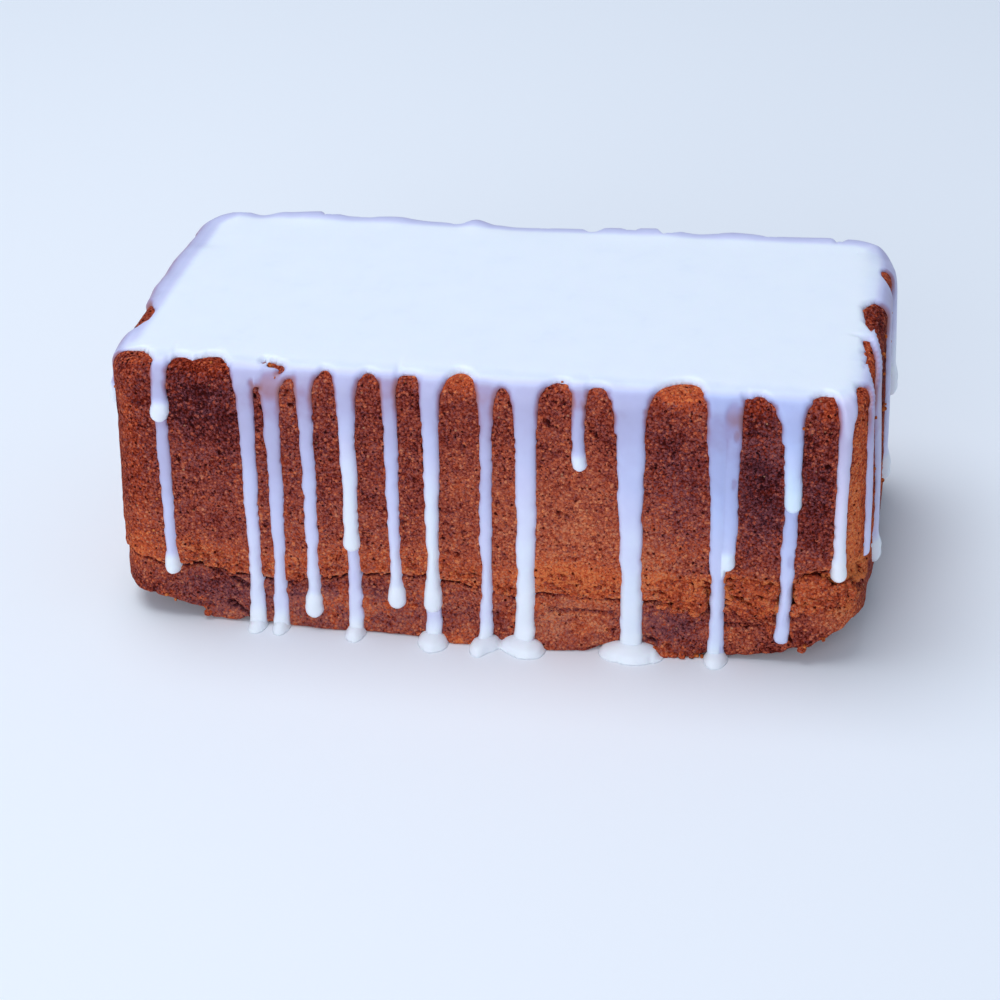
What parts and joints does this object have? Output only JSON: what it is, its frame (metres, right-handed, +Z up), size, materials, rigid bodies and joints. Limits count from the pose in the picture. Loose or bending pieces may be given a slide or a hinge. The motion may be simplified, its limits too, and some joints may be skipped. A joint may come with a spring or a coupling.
{
  "type": "loaf cake",
  "caption": "Oblong sponge loaf cake with poured white icing on top that runs down all four sides in narrow drips; uncut and solid, and stands on its flat underside.",
  "frame": {"origin": "middle of the cake's box, on the surface that it stands on", "axes": "+X along the loaf's length, to the right as seen from its long front face; +Y from the front face to the back; +Z up"},
  "size_m": [0.2332, 0.118, 0.0892],
  "materials": {
    "sponge": "porous browned sponge crumb, matt, from dark brown to orange brown",
    "icing": "smooth set sugar icing, satin, opaque where it is thick and slightly see-through where it is thin"
  },
  "bodies": {
    "root": {"sponge": "sponge", "icing": "icing"}
  },
  "joints": []
}
